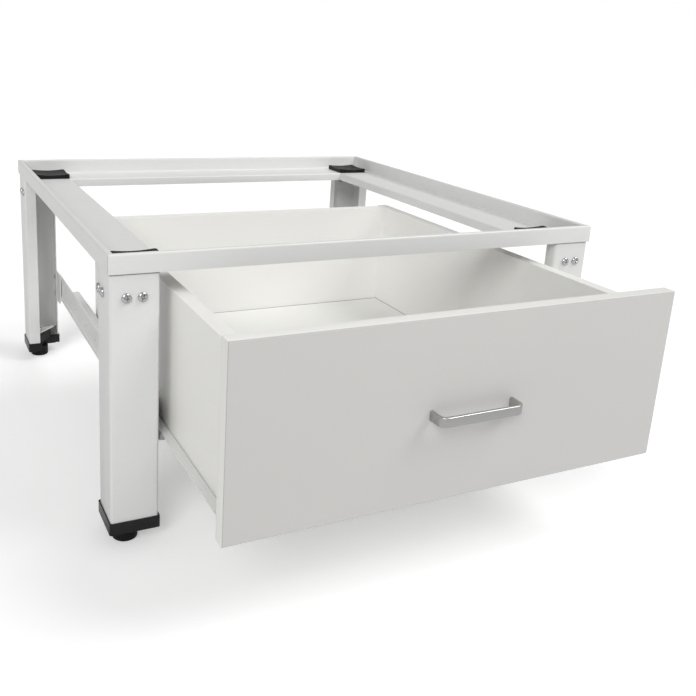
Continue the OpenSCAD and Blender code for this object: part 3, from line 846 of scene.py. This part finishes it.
def grown(name, data, tree, values):
    """The mesh that a tree grows from curve or mesh data, with its inputs set."""
    thing = bpy.data.objects.new(name, data)
    bpy.context.scene.collection.objects.link(thing)
    step = thing.modifiers.new("grow", "NODES")
    step.node_group = tree
    for socket in tree.interface.items_tree:
        if socket.in_out == "INPUT" and socket.name in values:
            step[socket.identifier] = values[socket.name]
    bpy.context.view_layer.update()
    graph = bpy.context.evaluated_depsgraph_get()
    mesh = bpy.data.meshes.new_from_object(thing.evaluated_get(graph), depsgraph=graph)
    thing.modifiers.clear()
    bpy.data.objects.remove(thing)
    mesh.name = name
    return mesh


class PEDESTAL_OT_handle(PieceOperator, bpy.types.Operator):
    """A flat aluminium bar bent into a wide U, swept along its path"""

    bl_idname = "pedestal.handle"
    bl_label = "Handle"

    thick: length("Thickness", "Thickness of the handle's bar", 0.004)
    bend: length("Bend", "Radius of the bends at the bar's middle line", 0.007)
    edge: length("Edge", "Rounding along the handle's bar", 0.0012)

    def execute(self, context):
        finish = aluminium_finish(colours().aluminium)
        low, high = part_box("handle")
        values = {
            "Bend": self.bend,
            "Thickness": self.thick,
            "Height": high.z - low.z,
            "Edge": self.edge,
        }
        mesh = grown("handle", self.path(low, high), self.bar_tree(finish), values)
        shape = bmesh.new()
        shape.from_mesh(mesh)
        bmesh.ops.remove_doubles(shape, verts=shape.verts, dist=SAME_PLACE)
        bmesh.ops.recalc_face_normals(shape, faces=shape.faces)
        smoothed(shape, 40)
        mesh = meshed(shape, "handle")
        piece("handle.piece", mesh, body_of("handle"), slot_of("handle"), finish, "handle")
        return {"FINISHED"}

    def path(self, low, high):
        """The bar's middle line with sharp corners, from one foot on the front to the other."""
        half = self.thick / 2
        z = (low.z + high.z) / 2
        corners = (
            (low.x + half, high.y),
            (low.x + half, low.y + half),
            (high.x - half, low.y + half),
            (high.x - half, high.y),
        )
        path = bpy.data.curves.new("handle path", "CURVE")
        path.dimensions = "3D"
        line = path.splines.new("POLY")
        line.points.add(len(corners) - 1)
        for point, (x, y) in zip(line.points, corners):
            point.co = (x, y, z, 1)
        return path

    def bar_tree(self, finish):
        """A tree that rounds a path's bends and sweeps a flat bar along it."""
        lengths = ("Bend", "Thickness", "Height", "Edge")
        sheet, given = shape_tree("bent bar", [(name, "NodeSocketFloat") for name in lengths])
        bent = sheet.add(
            "GeometryNodeFilletCurve",
            {"mode": "POLY"},
            {"Curve": given["Geometry"], "Count": 14, "Radius": given["Bend"]},
        )
        upright = sheet.add(
            "GeometryNodeSetCurveNormal", {"mode": "Z_UP"}, {"Curve": bent}
        )
        bar = sheet.add(
            "GeometryNodeCurvePrimitiveQuadrilateral",
            {"mode": "RECTANGLE"},
            {"Width": given["Thickness"], "Height": given["Height"]},
        )
        eased = sheet.add(
            "GeometryNodeFilletCurve",
            {"mode": "POLY"},
            {"Curve": bar, "Count": 4, "Radius": given["Edge"]},
        )
        swept = sheet.add(
            "GeometryNodeCurveToMesh",
            {},
            {"Curve": upright, "Profile Curve": eased, "Fill Caps": True},
        )
        close_tree(sheet, swept, finish)
        return sheet.tree


def islands(node):
    """The separate solids of a frame node, each as a list of corner points."""
    shape = merged(node)
    left, found = set(shape.verts), []
    for start in shape.verts:
        if start not in left:
            continue
        left.remove(start)
        heap, points = [start], []
        while heap:
            vert = heap.pop()
            points.append(vert.co.copy())
            for edge in vert.link_edges:
                other = edge.other_vert(vert)
                if other in left:
                    left.remove(other)
                    heap.append(other)
        found.append(points)
    shape.free()
    return sorted(found, key=lambda ps: tuple(round(c, 5) for c in sum(ps, Vector()) / len(ps)))


def screw_sizes(points, facing):
    """Seat and sizes of a screw solid whose head faces a way."""
    low = Vector([min(p[i] for p in points) for i in range(3)])
    high = Vector([max(p[i] for p in points) for i in range(3)])
    middle = (low + high) / 2
    along = [(p - middle).dot(facing) for p in points]
    away = [((p - middle) - facing * d).length for p, d in zip(points, along)]
    head = max(away)
    # The head's rim is the widest ring, and the shank is measured at its far end
    seat = min(d for d, a in zip(along, away) if a > head * 0.98)
    tip = min(along)
    shank = max(a for d, a in zip(along, away) if d < tip + 0.2 * MM)
    return {
        "at": middle + facing * seat,
        "facing": facing,
        "head": head,
        "tall": max(along) - seat,
        "shank": shank,
        "long": seat - tip,
    }


class PEDESTAL_OT_screws(PieceOperator, bpy.types.Operator):
    """Pan-head screws with a cross recess, set on points with the way that each one faces"""

    bl_idname = "pedestal.screws"
    bl_label = "Screws"

    recess: length("Cross recess", "Depth of the crosses in the screw heads", 0.0017)

    def execute(self, context):
        zinc = zinc_finish(colours().zinc)
        groups = {
            "leg_screws": self.outwards,
            "foot_screws": lambda at: UP,
            "rail_screws": lambda at: Vector((math.copysign(1, at.x), 0, 0)),
            "drawer_rail_screws": lambda at: -UP,
            "handle_screws": lambda at: Vector((0, 1, 0)),
        }
        for number, (node, facing) in enumerate(groups.items()):
            self.group(node, facing, zinc, sizes().seed + number)
        for node in ("rail_axles", "drawer_axles"):
            soften(node, 0.0002, zinc, angle=40)
        return {"FINISHED"}

    def outwards(self, at):
        """The leg screws face out of whichever side of the stand is nearer."""
        low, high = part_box("left_rail")
        middle = (low.y + high.y) / 2
        if abs(at.x) > abs(at.y - middle):
            return Vector((math.copysign(1, at.x), 0, 0))
        return Vector((0, math.copysign(1, at.y - middle), 0))

    def group(self, node, facing, finish, seed):
        """All screws of a node as one piece, each like the node's first one."""
        found = []
        for points in islands(node):
            middle = sum(points, Vector()) / len(points)
            found.append(screw_sizes(points, facing(middle)))
        template = self.screw(node, found[0])
        holder = bpy.data.objects.new(f"{node} template", template)
        bpy.context.scene.collection.objects.link(holder)
        places = bpy.data.meshes.new(f"{node} places")
        places.from_pydata([each["at"] for each in found], [], [])
        ways = places.attributes.new("facing", "FLOAT_VECTOR", "POINT")
        ways.data.foreach_set("vector", [part for each in found for part in each["facing"]])
        tree = self.set_tree(node, finish)
        mesh = grown(node, places, tree, {"Screw": holder, "Seed": seed})
        bpy.data.objects.remove(holder)
        piece(f"{node}.piece", mesh, body_of(node), slot_of(node), finish, node)

    def set_tree(self, node, finish):
        """A tree that sets a screw on each point, facing its way and turned at random."""
        sheet, given = shape_tree(
            f"{node} set", [("Screw", "NodeSocketObject"), ("Seed", "NodeSocketInt")]
        )
        way = sheet.add(
            "GeometryNodeInputNamedAttribute", {"data_type": "FLOAT_VECTOR"}, {"Name": "facing"}
        )
        turned = sheet.add(
            "FunctionNodeAlignRotationToVector", {"axis": "Z"}, {"Vector": way}
        )
        spin = sheet.add(
            "FunctionNodeRandomValue",
            {"data_type": "FLOAT"},
            {2: 0.0, 3: math.pi, "Seed": given["Seed"]},
            1,
        )
        about = sheet.add(
            "FunctionNodeAxisAngleToRotation", {}, {"Axis": (0.0, 0.0, 1.0), "Angle": spin}
        )
        rotation = sheet.add(
            "FunctionNodeRotateRotation",
            {"rotation_space": "LOCAL"},
            {"Rotation": turned, "Rotate By": about},
        )
        screw = sheet.add(
            "GeometryNodeObjectInfo",
            {"transform_space": "ORIGINAL"},
            {"Object": given["Screw"]},
            "Geometry",
        )
        placed = sheet.add(
            "GeometryNodeInstanceOnPoints",
            {},
            {"Points": given["Geometry"], "Instance": screw, "Rotation": rotation},
        )
        close_tree(sheet, placed, finish)
        return sheet.tree

    def screw(self, name, given):
        """A pan head on its shank, seat at z = 0, with a cross cut into its top."""
        head, tall, shank, long = (given[key] for key in ("head", "tall", "shank", "long"))
        # The crown is a quarter of an ellipse, over an upright edge and round a nearly flat top
        flat, edge, rise, steps = 0.42, 0.34, 0.62, 8
        crown = []
        for k in range(steps, -1, -1):
            angle = math.pi / 2 * k / steps
            radius = flat + (1 - flat) * math.sin(angle)
            height = edge + rise * math.cos(angle)
            crown.append((head * radius, tall * height))
        profile = [
            (0, -long),
            (shank * 0.8, -long),
            (shank, -long + 0.6 * MM),
            (shank, 0),
            (head * 0.985, 0),
            (head, 0.1 * MM),
            *crown,
            (0, tall),
        ]
        body = lathe(name, profile, Vector(), UP, steps=40)
        cutter = bpy.data.objects.new("cross", self.cross(head, tall))
        bpy.context.scene.collection.objects.link(cutter)
        cut = {"object": cutter, "operation": "DIFFERENCE"}
        made = evaluated(body, name, "BOOLEAN", cut)
        bpy.data.objects.remove(cutter)
        shape = bmesh.new()
        shape.from_mesh(made)
        smoothed(shape, 40)
        return meshed(shape, name)

    def cross(self, head, tall):
        """The cutter for a cross recess, which narrows towards its floor."""
        depth = min(self.recess, tall * 0.62)
        reach, wide = head * 0.56, head * 0.13
        shape = bmesh.new()
        rings = []
        for z, grow in ((tall - depth, 0.5), (tall + depth, 1.5)):
            a, b = reach * grow, wide * (0.7 + grow * 0.3)
            quarter = (Vector((a, -b, z)), Vector((a, b, z)), Vector((b, b, z)))
            ring = []
            for turn in range(4):
                spin = Matrix.Rotation(turn * math.pi / 2, 3, "Z")
                ring += [shape.verts.new(spin @ p) for p in quarter]
            rings.append(ring)
        low, high = rings
        shape.faces.new(low[::-1])
        shape.faces.new(high)
        for k in range(len(low)):
            m = (k + 1) % len(low)
            shape.faces.new((low[k], low[m], high[m], high[k]))
        bmesh.ops.recalc_face_normals(shape, faces=shape.faces)
        return meshed(shape, "cross")


# The studio


class PEDESTAL_OT_stage(PieceOperator, bpy.types.Operator):
    """A pale floor, two wide soft lights, light from all round, and the camera"""

    bl_idname = "pedestal.stage"
    bl_label = "Studio"

    key: FloatProperty(name="Left light", description="Strength of the left light", default=1.5)
    spread: FloatProperty(
        name="Spread", description="Angle that each light fills, in degrees", default=30
    )
    second: FloatProperty(
        name="Right light", description="Strength of the right light", default=1.4
    )
    fill: FloatProperty(name="Fill", description="Light from all round", default=0.36)
    shine: FloatProperty(
        name="Shine", description="What shiny surfaces see of the room", default=0.45
    )
    lift: FloatProperty(
        name="Floor lift", description="What the camera sees added to the floor", default=0.3
    )

    def execute(self, context):
        self.floor()
        self.sky()
        self.lamps()
        self.camera()
        return {"FINISHED"}

    def floor(self):
        """A round floor just below the feet, which the camera sees lifted towards white."""
        shape = bmesh.new()
        bmesh.ops.create_circle(shape, cap_ends=True, segments=96, radius=14)
        mesh = meshed(shape, "studio floor")
        mesh.materials.append(self.ground_finish(colours().ground))
        floor = bpy.data.objects.new("studio floor", mesh)
        bpy.context.scene.collection.objects.link(floor)
        floor.location.z = -0.2 * MM

    def ground_finish(self, rgb):
        ground = Finish("studio floor", Roughness=0.9, Specular_IOR_Level=0.1)
        cloud = ground.noise(ground.place(), scale=3.0)
        ground.feed(Base_Color=ground.mix(cloud, solid(rgb), solid(rgb, 0.995)))
        seen = ground.add("ShaderNodeLightPath", {}, {}, "Is Camera Ray")
        glow = ground.add(
            "ShaderNodeEmission", {}, {"Color": solid((1, 1, 1)), "Strength": seen * self.lift}
        )
        lit = Wire(ground, ground.shader.outputs[0])
        both = ground.add("ShaderNodeAddShader", {}, {0: lit, 1: glow})
        end = ground.tree.nodes["Material Output"]
        ground.tree.links.new(both.socket, end.inputs["Surface"])
        return ground.material

    def sky(self):
        """White for the camera, and dimmer for what it lights and for reflections of it."""
        world = bpy.data.worlds.new("studio")
        world.use_nodes = True
        bpy.context.scene.world = world
        sheet = Sheet(world.node_tree)
        camera = sheet.add("ShaderNodeLightPath", {}, {}, "Is Camera Ray")
        glossy = sheet.add("ShaderNodeLightPath", {}, {}, "Is Glossy Ray")
        clear = sheet.add("ShaderNodeLightPath", {}, {}, "Is Transmission Ray")
        seen = camera.maths("MAXIMUM", camera, clear)
        back = world.node_tree.nodes["Background"]
        strength = seen + (1.0 - seen) * (glossy * self.shine + (1.0 - glossy) * self.fill)
        back.inputs["Color"].default_value = solid((1, 1, 1))
        world.node_tree.links.new(strength.socket, back.inputs["Strength"])

    def lamps(self):
        """Two wide soft lights above the front: a low one on the left, a high one on the right.

        Each has its tilt from straight down and its turn about the vertical, in degrees."""
        for name, strength, tilt, turn in (
            ("left light", self.key, 55, -39),
            ("right light", self.second, 40, 60),
        ):
            lamp = bpy.data.lights.new(name, "SUN")
            lamp.energy = strength
            lamp.angle = math.radians(self.spread)
            light = bpy.data.objects.new(name, lamp)
            bpy.context.scene.collection.objects.link(light)
            light.rotation_euler = Euler((math.radians(tilt), 0, math.radians(turn)))

    def camera(self):
        """The photograph's view, placed from the frame's front left corner."""
        data = bpy.data.cameras.new("camera")
        data.lens = CAMERA["focal"] / CAMERA["width"] * data.sensor_width
        data.shift_x = CAMERA["shift_x"]
        data.shift_y = CAMERA["shift_y"]
        view = bpy.data.objects.new("camera", data)
        scene = bpy.context.scene
        scene.collection.objects.link(view)
        yaw, pitch, roll = (math.radians(angle) for angle in CAMERA["turn"])
        turn = Matrix.Rotation(-yaw, 3, "Z") @ Matrix.Rotation(math.pi / 2 - pitch, 3, "X")
        turn = turn @ Matrix.Rotation(roll, 3, "Z")
        view.rotation_mode = "QUATERNION"
        view.rotation_quaternion = turn.to_quaternion()
        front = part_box("front_rail")[0]
        view.location = Vector(CAMERA["at"]) + Vector((front.x, front.y, 0))
        scene.camera = view
        scene.view_settings.view_transform = "Standard"


class PEDESTAL_PT_panel(bpy.types.Panel):
    """Lists the pedestal's sizes, colours and pieces"""

    bl_label = "Pedestal"
    bl_idname = "PEDESTAL_PT_panel"
    bl_space_type = "VIEW_3D"
    bl_region_type = "UI"
    bl_category = "Pedestal"

    def draw(self, context):
        column = self.layout.column()
        for group in (context.scene.pedestal_sizes, context.scene.pedestal_colours):
            for name in group.__annotations__:
                column.prop(group, name)
        for operator in OPERATORS:
            column.operator(operator.bl_idname)


OPERATORS = (
    PEDESTAL_OT_top_frame,
    PEDESTAL_OT_legs,
    PEDESTAL_OT_feet,
    PEDESTAL_OT_pads,
    PEDESTAL_OT_slides,
    PEDESTAL_OT_rollers,
    PEDESTAL_OT_drawer,
    PEDESTAL_OT_handle,
    PEDESTAL_OT_screws,
    PEDESTAL_OT_stage,
)
CLASSES = (PedestalSizes, PedestalColours, *OPERATORS, PEDESTAL_PT_panel)


def register():
    for kind in CLASSES:
        bpy.utils.register_class(kind)
    bpy.types.Scene.pedestal_sizes = PointerProperty(type=PedestalSizes)
    bpy.types.Scene.pedestal_colours = PointerProperty(type=PedestalColours)


def unregister():
    del bpy.types.Scene.pedestal_colours
    del bpy.types.Scene.pedestal_sizes
    for kind in reversed(CLASSES):
        bpy.utils.unregister_class(kind)


def main():
    register()
    for operator in OPERATORS:
        group, name = operator.bl_idname.split(".")
        getattr(getattr(bpy.ops, group), name)()


if __name__ == "__main__":
    main()
